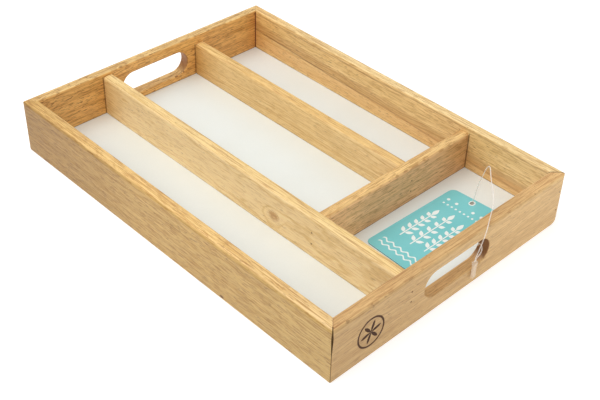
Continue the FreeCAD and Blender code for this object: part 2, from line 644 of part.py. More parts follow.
# ------------------------------------------------------------------ the nylon strand
# One strand, from the lock up the outside of the right end, over its top, in an arch down to
# the tag's hole, back under the tag and out through the hand slot to the lock again.
STRAND_ROUTE = [
    (192.0, 18.1, 24.0),
    (192.0, 18.1, 27.4),
    (192.1, 20.3, 31.4),
    (192.0, 22.6, 36.2),
    (192.1, 24.9, 41.8),
    (191.4, 28.6, 48.2),
    (188.4, 34.4, 52.7),
    (184.2, 41.6, 52.8),
    (180.6, 48.4, 54.6),
    (177.4, 52.4, 60.2),
    (171.6, 56.9, 65.4),
    (165.4, 61.7, 70.2),
    (161.6, 65.0, 75.4),
    (157.6, 68.3, 72.4),
    (153.3, 71.5, 64.6),
    (149.4, 75.0, 54.6),
    (144.8, 78.6, 44.2),
    (141.7, 81.0, 34.4),
    (139.75, 82.5, 24.5),
    (137.5, 84.35, 18.0),
    (136.04, 85.55, 12.9),
    (138.05, 83.9, 10.15),
    (141.06, 81.43, 10.35),
    (145.2, 75.6, 10.2),
    (151.5, 66.2, 10.3),
    (157.3, 56.9, 10.2),
    (162.8, 48.3, 10.5),
    (168.9, 42.6, 13.9),
    (175.0, 37.8, 18.9),
    (180.4, 33.4, 24.4),
    (184.4, 30.2, 30.0),
    (186.6, 28.4, 33.6),
    (188.9, 26.9, 35.7),
    (191.5, 25.3, 35.9),
    (193.3, 23.5, 34.2),
    (193.4, 22.3, 31.9),
    (192.8, 21.0, 29.4),
    (192.0, 19.5, 26.9),
    (192.0, 19.5, 24.0),
]


def route_wire(route):
    """Straight runs joined by tangent arcs; each arc takes 0.45 of its shorter run."""
    points = [Vector(*p) for p in route]
    runs = [(points[i + 1] - points[i]).Length for i in range(len(points) - 1)]
    edges, start, radii = [], points[0], []
    for i in range(1, len(points) - 1):
        back = (points[i - 1] - points[i]).normalize()
        ahead = (points[i + 1] - points[i]).normalize()
        turn = math.pi - back.getAngle(ahead)
        cut = 0.45 * min(runs[i - 1], runs[i])
        radius = cut / math.tan(turn / 2)
        first = points[i] + back * cut
        last = points[i] + ahead * cut
        bisector = (back + ahead).normalize()
        centre = points[i] + bisector * math.hypot(cut, radius)
        middle = centre - bisector * radius
        edges.append(Part.LineSegment(start, first).toShape())
        edges.append(Part.Arc(first, middle, last).toShape())
        radii.append(radius)
        start = last
    edges.append(Part.LineSegment(start, points[-1]).toShape())
    return Part.Wire(edges), radii


wire, radii = route_wire(STRAND_ROUTE)
diameter = float(sheet.get("strand_dia"))
start = Vector(*STRAND_ROUTE[0])
heading = Vector(*STRAND_ROUTE[1]) - start
section = Part.Wire([Part.Circle(start, heading, diameter / 2).toShape()])
tag_loop = doc.addObject("Part::Feature", "tag_loop")
tag_loop.Label = "tag_loop"
tag_loop.Shape = wire.makePipeShell([section], True, False)
tag_loop.Placement = Placement()
print("strand: length %.1f mm, arcs (mm): %s" % (wire.Length, ", ".join("%.1f" % r for r in radii)))
want = math.pi * diameter ** 2 / 4 * wire.Length
print("strand: volume %.2f mm3, section times length %.2f mm3" % (tag_loop.Shape.Volume, want))
if abs(tag_loop.Shape.Volume - want) > 0.02 * want:
    raise RuntimeError("the strand's volume is wrong")

# ------------------------------------------------------------------ check and write
doc.recompute()
nodes = [front_long_side, back_long_side, left_end, right_end, base_panel, long_divider, short_divider,
         cross_divider] + pin_groups + [hang_tag, tag_loop, lock]
bad = [o.Name for o in doc.Objects if "Invalid" in o.State or "Error" in o.State]
if bad:
    raise RuntimeError("objects that failed: %s" % ", ".join(bad))
os.makedirs("parts", exist_ok=True)
for node in nodes:
    shape = node.Shape
    if shape.isNull() or not shape.isValid() or not shape.Solids:
        raise RuntimeError("%s has no valid solid" % node.Label)
    shape.exportStep("parts/%s.step" % node.Label)
    box = shape.BoundBox
    print("%-28s %2d solid(s) %10.1f mm3  x %.2f..%.2f  y %.2f..%.2f  z %.2f..%.2f" % (
        node.Label, len(shape.Solids), shape.Volume, box.XMin, box.XMax, box.YMin, box.YMax, box.ZMin, box.ZMax))
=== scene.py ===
import math

import bpy
import bmesh
from mathutils import Matrix, Vector
from mathutils.geometry import delaunay_2d_cdt


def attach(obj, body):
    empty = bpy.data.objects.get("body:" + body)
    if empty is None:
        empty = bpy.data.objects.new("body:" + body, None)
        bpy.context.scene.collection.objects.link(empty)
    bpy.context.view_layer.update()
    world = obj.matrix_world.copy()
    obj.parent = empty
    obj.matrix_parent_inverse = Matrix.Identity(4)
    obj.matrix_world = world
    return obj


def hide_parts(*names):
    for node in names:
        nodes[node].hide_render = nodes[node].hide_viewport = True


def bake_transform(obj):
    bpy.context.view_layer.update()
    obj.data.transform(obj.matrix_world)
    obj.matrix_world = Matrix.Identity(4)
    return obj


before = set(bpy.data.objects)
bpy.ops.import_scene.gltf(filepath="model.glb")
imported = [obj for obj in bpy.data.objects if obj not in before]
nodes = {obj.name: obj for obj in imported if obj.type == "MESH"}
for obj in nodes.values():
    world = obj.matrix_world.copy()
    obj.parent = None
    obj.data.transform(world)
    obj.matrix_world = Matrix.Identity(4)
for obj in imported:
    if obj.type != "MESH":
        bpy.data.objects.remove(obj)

# A wooden cutlery tray: four mitred sides, three dividers, a white base panel and a card tag on
# a nylon loop. The length runs along X, the width along Y; the underside is at Z = 0.
scene = bpy.context.scene
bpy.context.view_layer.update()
MM = 0.001


# ------------------------------------------------------------------ camera
def add_camera():
    data = bpy.data.cameras.new("camera")
    data.lens = 65.19
    data.sensor_width = 36.0
    data.sensor_fit = "HORIZONTAL"
    data.shift_x = -0.05
    data.clip_start = 0.02
    data.clip_end = 50.0
    data.dof.use_dof = False
    camera = bpy.data.objects.new("camera", data)
    scene.collection.objects.link(camera)
    right = Vector((0.703866, 0.709215, 0.039828))
    up = Vector((-0.459754, 0.412112, 0.786632))
    back = Vector((0.541478, -0.571995, 0.616136))
    place = Vector((0.5432125, -0.5174905, 0.5707431))
    turn = Matrix((right, up, back)).transposed().to_4x4()
    camera.matrix_world = Matrix.Translation(place) @ turn
    scene.camera = camera


add_camera()


# ------------------------------------------------------------------ the nylon strand
# From the lock up the outside of the right end, over its top, in an arch down to the tag's hole,
# back under the tag and out through the hand slot to the lock again. Points in millimetres.
STRAND = [
    (192.0, 18.1, 24.0),
    (192.0, 18.1, 27.4),
    (192.1, 20.3, 31.4),
    (192.0, 22.6, 36.2),
    (192.1, 24.9, 41.8),
    (191.4, 28.6, 48.2),
    (188.4, 34.4, 52.7),
    (184.2, 41.6, 52.8),
    (180.6, 48.4, 54.6),
    (177.4, 52.4, 60.2),
    (171.6, 56.9, 65.4),
    (165.4, 61.7, 70.2),
    (161.6, 65.0, 75.4),
    (157.6, 68.3, 72.4),
    (153.3, 71.5, 64.6),
    (149.4, 75.0, 54.6),
    (144.8, 78.6, 44.2),
    (141.7, 81.0, 34.4),
    (139.75, 82.5, 24.5),
    (137.5, 84.35, 18.0),
    (136.04, 85.55, 12.9),
    (138.05, 83.9, 10.15),
    (141.06, 81.43, 10.35),
    (145.2, 75.6, 10.2),
    (151.5, 66.2, 10.3),
    (157.3, 56.9, 10.2),
    (162.8, 48.3, 10.5),
    (168.9, 42.6, 13.9),
    (175.0, 37.8, 18.9),
    (180.4, 33.4, 24.4),
    (184.4, 30.2, 30.0),
    (186.6, 28.4, 33.6),
    (188.9, 26.9, 35.7),
    (191.5, 25.3, 35.9),
    (193.3, 23.5, 34.2),
    (193.4, 22.3, 31.9),
    (192.8, 21.0, 29.4),
    (192.0, 19.5, 26.9),
    (192.0, 19.5, 24.0),
]
STRAND_WIDTH = 0.9


def strand():
    data = bpy.data.curves.new("strand_line", "CURVE")
    data.dimensions = "3D"
    line = data.splines.new("NURBS")
    line.points.add(len(STRAND) - 1)
    for point, at in zip(line.points, STRAND):
        point.co = (at[0] * MM, at[1] * MM, at[2] * MM, 1.0)
    line.order_u = 3
    line.use_endpoint_u = True
    data.resolution_u = 8
    line.resolution_u = 8
    holder = bpy.data.objects.new("strand_line", data)
    scene.collection.objects.link(holder)
    bpy.context.view_layer.update()
    plain = bpy.data.meshes.new_from_object(holder)
    path = [tuple(v.co) for v in plain.vertices]
    data.bevel_depth = STRAND_WIDTH * MM / 2
    data.bevel_resolution = 3
    data.use_fill_caps = True
    bpy.context.view_layer.update()
    tube = bpy.data.meshes.new_from_object(holder)
    tube.name = "tag_strand"
    bpy.data.objects.remove(holder)
    bpy.data.meshes.remove(plain)
    piece = bpy.data.objects.new("tag_strand", tube)
    scene.collection.objects.link(piece)
    for face in tube.polygons:
        face.use_smooth = True
    return piece, path


tag_strand, strand_path = strand()
strand_length = sum((Vector(b) - Vector(a)).length for a, b in zip(strand_path, strand_path[1:]))
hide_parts("tag_loop")
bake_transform(tag_strand)


# ------------------------------------------------------------------ small tools for materials
def srgb(red, green, blue):
    def line(value):
        value /= 255.0
        return value / 12.92 if value <= 0.04045 else ((value + 0.055) / 1.055) ** 2.4
    return (line(red), line(green), line(blue), 1.0)


class Tree:
    """A material's node tree, with one short call for each kind of node used here."""

    def __init__(self, name):
        self.material = bpy.data.materials.new(name)
        self.material.use_nodes = True
        self.tree = self.material.node_tree
        self.tree.nodes.clear()
        self.shader = self.add("ShaderNodeBsdfPrincipled")
        output = self.add("ShaderNodeOutputMaterial")
        self.tree.links.new(self.shader.outputs["BSDF"], output.inputs["Surface"])

    def add(self, kind, **settings):
        node = self.tree.nodes.new(kind)
        for name, value in settings.items():
            setattr(node, name, value)
        return node

    def put(self, socket, value):
        if isinstance(value, bpy.types.NodeSocket):
            self.tree.links.new(value, socket)
        else:
            socket.default_value = value

    def set(self, **values):
        for name, value in values.items():
            self.put(self.shader.inputs[name.replace("_", " ")], value)

    def place(self):
        """Object coordinates in millimetres, as three numbers."""
        source = self.add("ShaderNodeTexCoord")
        scaled = self.add("ShaderNodeVectorMath", operation="SCALE")
        self.put(scaled.inputs[0], source.outputs["Object"])
        scaled.inputs["Scale"].default_value = 1000.0
        parts = self.add("ShaderNodeSeparateXYZ")
        self.put(parts.inputs[0], scaled.outputs[0])
        return parts.outputs[0], parts.outputs[1], parts.outputs[2]

    def normal(self):
        source = self.add("ShaderNodeTexCoord")
        parts = self.add("ShaderNodeSeparateXYZ")
        self.put(parts.inputs[0], source.outputs["Normal"])
        return parts.outputs[0], parts.outputs[1], parts.outputs[2]

    def sum(self, operation, *values, clamp=False):
        node = self.add("ShaderNodeMath", operation=operation, use_clamp=clamp)
        for socket, value in zip(node.inputs, values):
            self.put(socket, value)
        return node.outputs[0]

    def times(self, *values):
        total = values[0]
        for value in values[1:]:
            total = self.sum("MULTIPLY", total, value)
        return total

    def plus(self, *values):
        total = values[0]
        for value in values[1:]:
            total = self.sum("ADD", total, value)
        return total

    def less(self, a, b):
        return self.sum("SUBTRACT", a, b)

    def distance(self, *parts):
        """Length of the vector with these two or three parts."""
        total = self.sum("MULTIPLY", parts[0], parts[0])
        for part in parts[1:]:
            total = self.sum("MULTIPLY_ADD", part, part, total)
        return self.sum("SQRT", total)

    def vector(self, x, y, z):
        node = self.add("ShaderNodeCombineXYZ")
        for socket, value in zip(node.inputs, (x, y, z)):
            self.put(socket, value)
        return node.outputs[0]

    def noise(self, vector, scale=1.0, detail=2.0, rough=0.5, bend=0.0):
        node = self.add("ShaderNodeTexNoise", noise_dimensions="3D")
        self.put(node.inputs["Vector"], vector)
        node.inputs["Scale"].default_value = scale
        node.inputs["Detail"].default_value = detail
        node.inputs["Roughness"].default_value = rough
        node.inputs["Distortion"].default_value = bend
        return node.outputs[0]

    def noise1(self, value, detail=2.0, rough=0.5):
        node = self.add("ShaderNodeTexNoise", noise_dimensions="1D")
        self.put(node.inputs["W"], value)
        node.inputs["Scale"].default_value = 1.0
        node.inputs["Detail"].default_value = detail
        node.inputs["Roughness"].default_value = rough
        return node.outputs[0]

    def fade(self, value, low, high, start=0.0, end=1.0):
        """start below low, end above high, and smooth between them."""
        node = self.add("ShaderNodeMapRange", interpolation_type="SMOOTHSTEP")
        self.put(node.inputs["Value"], value)
        for name, number in (("From Min", low), ("From Max", high), ("To Min", start), ("To Max", end)):
            self.put(node.inputs[name], number)
        return node.outputs[0]

    def mix(self, factor, a, b, mode="MIX"):
        node = self.add("ShaderNodeMix", data_type="RGBA", blend_type=mode)
        self.put(node.inputs[0], factor)
        self.put(node.inputs[6], a)
        self.put(node.inputs[7], b)
        return node.outputs[2]

    def bump(self, height, distance, strength=1.0):
        node = self.add("ShaderNodeBump")
        node.inputs["Strength"].default_value = strength
        node.inputs["Distance"].default_value = distance
        self.put(node.inputs["Height"], height)
        return node.outputs[0]

    def shade(self, colour, factor):
        """colour times a number."""
        node = self.add("ShaderNodeVectorMath", operation="SCALE")
        self.put(node.inputs[0], colour)
        self.put(node.inputs["Scale"], factor)
        return node.outputs[0]


def paint(piece, material):
    piece.data.materials.clear()
    piece.data.materials.append(material)


# ------------------------------------------------------------------ wood
def wood(name, along, seed, light, mid, dark, pore=(112, 72, 36), pith=(-40.0, -60.0), tilt=0.0,
         bands=0.55, lines=0.35, fibres=0.35, pores=0.6, pore_from=0.66, wave=5.0,
         knots=(), seams=(), stripes=(), marks=None, streaks=0.5, end_dark=0.35, warm=0.80, painted_light_grades=(),
          contact_shade=(), slot_end_shade=0.0, veins=0.45,
         face=(1.0, 1.0, 1.0), edge=(1.0, 1.0, 1.0)):
    """Pale tropical hardwood: faint broad bands and fine lines along the grain, short dark pores.
    along is the grain's axis. light, mid and dark are the wood's tones, and pith is where the
    growth rings' centre lies beside the board."""
    t = Tree(name)
    x, y, z = t.place()
    run, across = (x, y) if along == "X" else (y, x)
    dark = (dark[0], dark[1], dark[2] * warm)

    # the grain bends round each knot, and wanders slowly along the board
    swell = 0.0
    knot_core = None
    for knot_run, knot_up, size in knots:
        off = t.distance(t.times(t.less(run, knot_run), 0.72), t.less(z, knot_up))
        hump = t.fade(off, 0.0, size * 2.6, size * 0.42, 0.0)
        swell = hump if isinstance(swell, float) else t.plus(swell, hump)
        inner = t.fade(off, size * 0.35, size * 1.25, 1.0, 0.0)
        knot_core = inner if knot_core is None else t.sum("MAXIMUM", knot_core, inner)
    slow = t.noise(t.vector(t.plus(t.times(run, 0.0075), seed), t.times(across, 0.03), t.times(z, 0.03)), detail=1.5)
    swing = t.noise(t.vector(t.plus(t.times(run, 0.045), seed + 7.3), t.times(across, 0.12), t.times(z, 0.12)), detail=1.0)
    radius = t.distance(t.less(across, pith[0]), t.less(z, pith[1]))
    radius = t.plus(radius, t.times(t.less(slow, 0.5), wave * 2.2), t.times(t.less(swing, 0.5), wave * 0.35), t.times(run, tilt))
    if not isinstance(swell, float):
        radius = t.plus(radius, swell)

    broad = t.noise1(t.plus(t.times(radius, 0.16), seed), detail=1.0)
    fine = t.noise1(t.plus(t.times(radius, 0.95), seed + 3.0), detail=2.5, rough=0.6)
    fibre = t.noise(t.vector(t.plus(t.times(run, 0.035), seed), t.times(across, 1.1), t.times(z, 1.1)), detail=2.5, rough=0.6)
    patch = t.noise(t.vector(t.plus(t.times(run, 0.02), seed + 11.0), t.times(across, 0.07), t.times(z, 0.07)), detail=2.0)

    tone = t.fade(broad, 0.32, 0.70)
    colour = t.mix(t.times(tone, bands), srgb(*light), srgb(*mid))
    line = t.fade(fine, 0.50, 0.72)
    colour = t.mix(t.times(line, lines), colour, srgb(*dark))
    hair = t.fade(fibre, 0.46, 0.74)
    colour = t.mix(t.times(hair, fibres), colour, srgb(*dark))
    colour = t.shade(colour, t.fade(patch, 0.25, 0.75, 0.965, 1.035))

    # short streaks along the grain, some darker and some lighter than the wood around them
    streak = t.noise(t.vector(t.plus(t.times(run, 0.030), seed + 2.0), t.times(radius, 0.12), t.times(t.plus(across, z), 0.70)), detail=2.0, rough=0.6)
    colour = t.mix(t.times(t.fade(streak, 0.50, 0.72), streaks * 0.42), colour, srgb(*dark))
    colour = t.shade(colour, t.fade(streak, 0.32, 0.52, 1.0 + 0.12 * streaks, 1.0))
    scratch = t.noise(t.vector(t.plus(t.times(run, 0.10), seed + 4.0), t.times(radius, 0.06), t.times(t.plus(across, z), 1.0)), detail=1.5, rough=0.55)
    colour = t.mix(t.times(t.fade(scratch, 0.545, 0.605), streaks * 0.80), colour, srgb(dark[0] * 0.88, dark[1] * 0.78, dark[2] * 0.66))
    colour = t.shade(colour, t.fade(scratch, 0.36, 0.48, 1.0 + 0.10 * streaks, 1.0))

    # broad coloured stripes along the board: height, half width, softness, tone, strength, slope
    for up, half, soft, tint, strength, fall in stripes:
        wander = t.plus(t.less(z, up + fall * 90.0), t.times(run, -fall), t.times(t.less(slow, 0.5), 5.0), t.times(t.less(swing, 0.5), 1.5))
        band = t.fade(t.sum("ABSOLUTE", wander), half, half + soft, strength, 0.0)
        colour = t.mix(t.times(band, t.fade(fine, 0.25, 0.65, 0.55, 1.0)), colour, srgb(*tint))

    # pores: open vessels cut lengthwise, 2 to 6 mm long
    dash = t.noise(t.vector(t.plus(t.times(run, 0.20), seed), t.times(radius, 0.35), t.times(t.plus(across, z), 1.35)), detail=0.6)
    spots = t.noise(t.vector(t.plus(t.times(run, 0.012), seed + 5.0), t.times(across, 0.06), t.times(z, 0.06)), detail=1.0)
    vessel = t.times(t.fade(dash, pore_from, pore_from + 0.07), t.fade(spots, 0.30, 0.62, 0.35, 1.0))
    colour = t.mix(t.times(vessel, pores), colour, srgb(*pore))

    # end grain is darker and browner
    facing = t.normal()[0 if along == "X" else 1]
    end = t.fade(t.sum("ABSOLUTE", facing), 0.55, 0.95)
    colour = t.mix(t.times(end, end_dark), colour, srgb(128, 86, 48))
    if slot_end_shade:
        # the hand slot's far round end shows open end grain, darkened further as painted shade inside the slot
        wall = t.times(t.fade(t.times(facing, -1.0), 0.25, 0.85), t.fade(t.sum("ABSOLUTE", run), 45.0, 60.0, 1.0, 0.0))
        colour = t.mix(t.times(wall, slot_end_shade), colour, srgb(112, 60, 28))

    # the narrow upward edges are cut across the rings in another way and show long veins
    upward = t.fade(t.normal()[2], 0.45, 0.92)
    vein = t.noise(t.vector(t.plus(t.times(run, 0.028), seed + 9.0), t.times(across, 0.95), t.times(z, 0.2)), detail=1.5, rough=0.6)
    colour = t.mix(t.times(t.fade(vein, 0.54, 0.64), upward, veins), colour, srgb(150, 92, 44))
    # painted light and shade: upright faces and upward edges get their own tints, by how the lamps fall on each
    colour = t.mix(1.0, colour, t.mix(upward, (*face, 1.0), (*edge, 1.0)), mode="MULTIPLY")

    # painted light and shade along the board, darker near corners and lighter where the lamps reach more: where it is
    # full, where it ends, tones on faces and edges
    for full, none, on_face, on_edge in painted_light_grades:
        amount = t.fade(run, full, none, 1.0, 0.0) if full < none else t.fade(run, none, full)
        colour = t.mix(amount, colour, t.mix(upward, (*on_face, 1.0), (*on_edge, 1.0)), mode="MULTIPLY")
    if knot_core is not None:
        mottle = t.noise(t.vector(t.times(run, 0.55), t.times(across, 0.5), t.times(z, 0.55)), detail=2.0)
        colour = t.mix(t.times(knot_core, t.fade(mottle, 0.32, 0.62, 0.45, 1.0), 0.62), colour, srgb(172, 108, 54))

    # thin joint lines, some with painted shade of an open mitre: a plane's normal and offset, half width, height from
    # and to, tone, strength
    for normal, offset, half, low, high, tint, strength in seams:
        flat = t.plus(t.times(x, normal[0]), t.times(y, normal[1]), t.times(z, normal[2]))
        near = t.fade(t.sum("ABSOLUTE", t.less(flat, offset)), half * 0.45, half, 1.0, 0.0)
        reach = t.times(t.fade(z, low - 1.0, low + 1.0), t.fade(z, high - 1.0, high + 1.0, 1.0, 0.0))
        colour = t.mix(t.times(near, reach, strength), colour, srgb(*tint))

    # painted shade: thin dark lines in the corners where other boards and the panel meet this board's inner face
    inward = t.times(t.fade(t.sum("ABSOLUTE", x), 180.6, 181.4, 1.0, 0.0), t.fade(t.sum("ABSOLUTE", y), 125.6, 126.4, 1.0, 0.0))
    for normal, offset, half, low, high, tint, strength in contact_shade:
        flat = t.plus(t.times(x, normal[0]), t.times(y, normal[1]), t.times(z, normal[2]))
        near = t.fade(t.sum("ABSOLUTE", t.less(flat, offset)), half * 0.35, half, 1.0, 0.0)
        reach = t.times(t.fade(z, low - 0.6, low + 0.6), t.fade(z, high - 0.6, high + 0.6, 1.0, 0.0))
        colour = t.mix(t.times(near, reach, inward, strength), colour, srgb(*tint))

    height = t.less(t.times(hair, 0.35), vessel)
    rough = t.fade(fibre, 0.3, 0.8, 0.40, 0.52)
    if marks is not None:
        colour, rough, height = marks(t, x, y, z, colour, rough, height)
    t.set(Base_Color=colour, Roughness=rough, Normal=t.bump(height, 0.00006, 0.8))
    t.shader.inputs["Specular IOR Level"].default_value = 0.42
    t.shader.inputs["IOR"].default_value = 1.48
    return t.material


def small_chip(t, x, y, z, colour, rough, height):
    """A small dark chip in the front side's lower edge."""
    off = t.distance(t.times(t.less(x, 73.4), 0.55), t.less(z, 2.6))
    grain = t.noise(t.vector(t.times(x, 0.7), t.times(y, 0.7), t.times(z, 1.4)), detail=2.0)
    chip = t.fade(t.plus(off, t.times(grain, 1.4)), 1.5, 2.3, 0.85, 0.0)
    return t.mix(chip, colour, srgb(84, 48, 26)), rough, t.less(height, chip)


def burnt_rosette(t, x, y, z, colour, rough, height):
    """A mark burnt into the right end: a ring round six petals drawn with a compass."""
    across, up = t.less(y, -95.3), t.less(z, 24.3)
    grain = t.noise(t.vector(t.times(x, 0.4), t.times(y, 0.9), t.times(z, 2.4)), detail=3.0, rough=0.65)
    ragged = t.times(t.less(grain, 0.5), 0.55)
    off = t.plus(t.distance(across, up), ragged)
    ring = t.times(t.fade(off, 12.1, 12.5), t.fade(off, 13.75, 14.15, 1.0, 0.0))
    radius, count = 11.0, None
    for k in range(6):
        turn = math.radians(60 * k + 12)
        there = t.distance(t.less(across, radius * math.cos(turn)), t.less(up, radius * math.sin(turn)))
        inside = t.fade(t.plus(there, ragged), radius - 0.35, radius + 0.25, 1.0, 0.0)
        count = inside if count is None else t.plus(count, inside)
    petal = t.times(t.fade(count, 2.35, 2.65), t.fade(off, radius - 0.4, radius + 0.2, 1.0, 0.0))
    burnt = t.sum("MAXIMUM", ring, petal)
    for k in range(6):
        turn = math.radians(60 * k + 12)
        there = t.distance(t.less(across, 7.9 * math.cos(turn)), t.less(up, 7.9 * math.sin(turn)))
        burnt = t.sum("MAXIMUM", burnt, t.fade(t.plus(there, ragged), 1.15, 1.55, 1.0, 0.0))
    right = t.fade(x, 189.2, 189.6)
    burnt = t.times(burnt, right)
    colour = t.mix(t.times(burnt, t.fade(grain, 0.3, 0.7, 1.0, 0.92)), colour, srgb(48, 17, 6))
    halo = t.times(t.fade(off, 13.6, 15.4, 0.16, 0.0), t.fade(off, 4.0, 12.0, 0.4, 1.0), right)
    colour = t.mix(halo, colour, srgb(120, 76, 40))
    return colour, t.plus(rough, t.times(burnt, 0.4)), t.less(height, t.times(burnt, 2.0))


RED_SEAM = (150, 84, 58)
# a dark joint line with painted shade where the mitre stands open
MITRE_GAP_SHADE = (70, 42, 24)


def mitre(sx, sy, half, low, high, tint, strength):
    """A joint line on the corner at x = sx * 190, y = sy * 135."""
    return ((sx * 0.7071, -sy * 0.7071, 0.0), 0.7071 * (190 - 135), half, low, high, tint, strength)


def foot_shade_line(strength):
    """Painted shade: the dark line where a board meets the white panel."""
    return ((0.0, 0.0, 1.0), 9.8, 0.85, 8.0, 12.0, (104, 62, 34), strength)


def upright_shade_line(axis, at, top, strength, half=0.75):
    """Painted shade: the dark line down a board's face beside another board's end."""
    return ((1.0, 0.0, 0.0) if axis == "X" else (0.0, 1.0, 0.0), at, half, 9.6, top, (104, 60, 32), strength)


def dress_wood():
    paint(nodes["front_long_side"], wood(
        "wood_front_side", "X", 1.7, (226, 190, 138), (208, 168, 114), (184, 138, 84), pith=(-170.0, 60.0),
        contact_shade=[foot_shade_line(0.4)],
        painted_light_grades=[(-190, 20, (0.68, 0.60, 0.47), (1, 1, 1)),
                (-190, -70, (1, 1, 1), (0.79, 0.75, 0.65)),
                (190, 40, (0.98, 1.01, 1.06), (0.99, 1.03, 1.2))],
        face=(0.73, 0.692, 0.471), edge=(1.19, 1.19, 0.988),
        pores=0.45, pore_from=0.63, lines=0.5, fibres=0.6, streaks=0.55, bands=0.4, marks=small_chip,
        seams=[mitre(1, -1, 0.35, 49.0, 60.0, RED_SEAM, 0.5), mitre(1, -1, 0.32, -2.0, 30.0, MITRE_GAP_SHADE, 0.75)]))
    paint(nodes["back_long_side"], wood(
        "wood_back_side", "X", 23.1, (232, 192, 132), (212, 170, 108), (182, 134, 76), pith=(90.0, 60.0),
        contact_shade=[foot_shade_line(0.45), upright_shade_line("X", 96.2, 45.0, 0.75), upright_shade_line("X", 85.2, 45.0, 0.4)],
        painted_light_grades=[(-185, -110, (0.95, 0.85, 0.70), (0.97, 0.9, 0.8)),
                (-190, -40, (1, 1, 1), (0.97, 0.93, 0.88)),
                (172, 110, (1.1, 1.14, 1.26), (1, 1, 1))],
        face=(1.19, 1.3, 1.39), edge=(1.28, 1.48, 1.76),
        pores=0.5, lines=0.5, streaks=0.45, fibres=0.4,
        stripes=[(31.0, 3.2, 3.2, (172, 122, 66), 0.64, -0.042), (26.6, 0.4, 0.8, (126, 76, 38), 0.62, -0.042),
                 (18.5, 4.5, 4.0, (208, 150, 88), 0.45, -0.015), (48.2, 0.3, 0.8, (140, 92, 54), 0.45, 0.0)],
        seams=[mitre(-1, 1, 0.75, 5.0, 49.8, (124, 56, 32), 0.85), mitre(1, 1, 0.6, 46.0, 60.0, MITRE_GAP_SHADE, 0.75)]))
    paint(nodes["left_end"], wood(
        "wood_left_end", "Y", 41.9, (222, 172, 104), (200, 146, 82), (166, 110, 54), pore=(128, 78, 38), pith=(-150.0, 90.0),
        slot_end_shade=0.62, contact_shade=[foot_shade_line(0.6), upright_shade_line("Y", -58.5, 48.0, 0.6), upright_shade_line("Y", -47.5, 48.0, 0.4), upright_shade_line("Y", 47.0, 42.0, 0.6), upright_shade_line("Y", 58.0, 42.0, 0.4)],
        painted_light_grades=[(124, 108, (0.88, 0.80, 0.74), (1, 1, 1))],
        face=(1.33, 1.38, 1.32), edge=(1.21, 1.48, 1.86),
        pores=0.8, pore_from=0.60, lines=0.55, fibres=0.6, streaks=0.46,
        seams=[mitre(-1, 1, 0.75, 5.0, 49.8, (124, 56, 32), 0.85)]))
    paint(nodes["right_end"], wood(
        "wood_right_end", "Y", 57.3, (224, 188, 138), (204, 164, 112), (176, 132, 84), pith=(240.0, 70.0),
        slot_end_shade=0.75, contact_shade=[foot_shade_line(0.4)],
        painted_light_grades=[(-140, 120, (0.79, 0.765, 0.74), (1, 1, 1)),
                (100, 65, (1, 1, 1), (1.18, 1.2, 1.22))],
        face=(0.978, 0.949, 0.778), edge=(0.972, 0.912, 0.77),
        pores=0.45, lines=0.45, fibres=0.55, streaks=0.27, warm=1.0, marks=burnt_rosette,
        seams=[mitre(1, -1, 0.35, 49.0, 60.0, RED_SEAM, 0.5), mitre(1, -1, 0.32, -2.0, 30.0, MITRE_GAP_SHADE, 0.75), mitre(1, 1, 0.6, 46.0, 60.0, MITRE_GAP_SHADE, 0.75)]))
    paint(nodes["long_divider"], wood(
        "wood_long_divider", "X", 71.2, (236, 204, 150), (222, 186, 130), (198, 154, 96), pith=(-230.0, 40.0),
        contact_shade=[foot_shade_line(0.35)],
        painted_light_grades=[(-179, -140, (0.84, 0.77, 0.64), (1, 1, 1))],
        face=(1.24, 1.32, 1.42), edge=(1.1, 1.11, 1),
        pores=0.35, lines=0.45, fibres=0.45, bands=0.25, streaks=0.30, knots=[(47.4, 24.1, 5.2)]))
    paint(nodes["short_divider"], wood(
        "wood_short_divider", "X", 88.6, (230, 192, 132), (214, 172, 112), (188, 140, 82), pith=(-30.0, 180.0),
        contact_shade=[foot_shade_line(0.4)],
        painted_light_grades=[(-179, -130, (0.82, 0.70, 0.52), (1, 1, 1)),
                (60, -40, (1.02, 1.06, 1.15), (1, 1, 1))],
        face=(1.06, 1.13, 1.18), edge=(1.12, 1.14, 1.05),
        pores=0.4, lines=0.55, streaks=0.32, fibres=0.5))
    paint(nodes["cross_divider"], wood(
        "wood_cross_divider", "Y", 102.4, (214, 178, 130), (192, 154, 106), (160, 122, 80), pith=(300.0, 60.0),
        contact_shade=[foot_shade_line(0.55)],
        painted_light_grades=[(112, 75, (0.90, 0.86, 0.78), (1, 1, 1)),
                (-25, 8, (1.15, 1.19, 1.22), (1, 1, 1))],
        face=(1.29, 1.23, 1.2), edge=(1.34, 1.34, 1.12),
        pores=0.5, lines=0.5, streaks=0.60, fibres=0.5))


dress_wood()


# ------------------------------------------------------------------ base panel, brads, nylon
def white_board():
    t = Tree("white_board")
    x, y, z = t.place()
    cloud = t.noise(t.vector(t.times(x, 0.012), t.times(y, 0.012), z), detail=3.0)
    speck = t.noise(t.vector(t.times(x, 0.9), t.times(y, 0.9), z), detail=2.0)
    colour = t.mix(t.fade(cloud, 0.3, 0.7), srgb(236, 241, 238), srgb(233, 237, 232))
    colour = t.shade(colour, t.fade(speck, 0.35, 0.65, 0.992, 1.006))
    # the panel's underside and edges are bare brown fibre
    fuzz = t.noise(t.vector(t.times(x, 0.35), t.times(y, 0.35), z), detail=4.0, rough=0.65)
    bare = t.shade(t.mix(t.fade(fuzz, 0.35, 0.65), srgb(158, 118, 82), srgb(138, 100, 68)), t.fade(speck, 0.3, 0.7, 0.94, 1.05))
    colour = t.mix(t.fade(t.normal()[2], 0.3, 0.6, 1.0, 0.0), colour, bare)
    t.set(Base_Color=colour, Roughness=t.fade(cloud, 0.3, 0.7, 0.38, 0.46), Normal=t.bump(speck, 0.00002, 0.5))
    return t.material


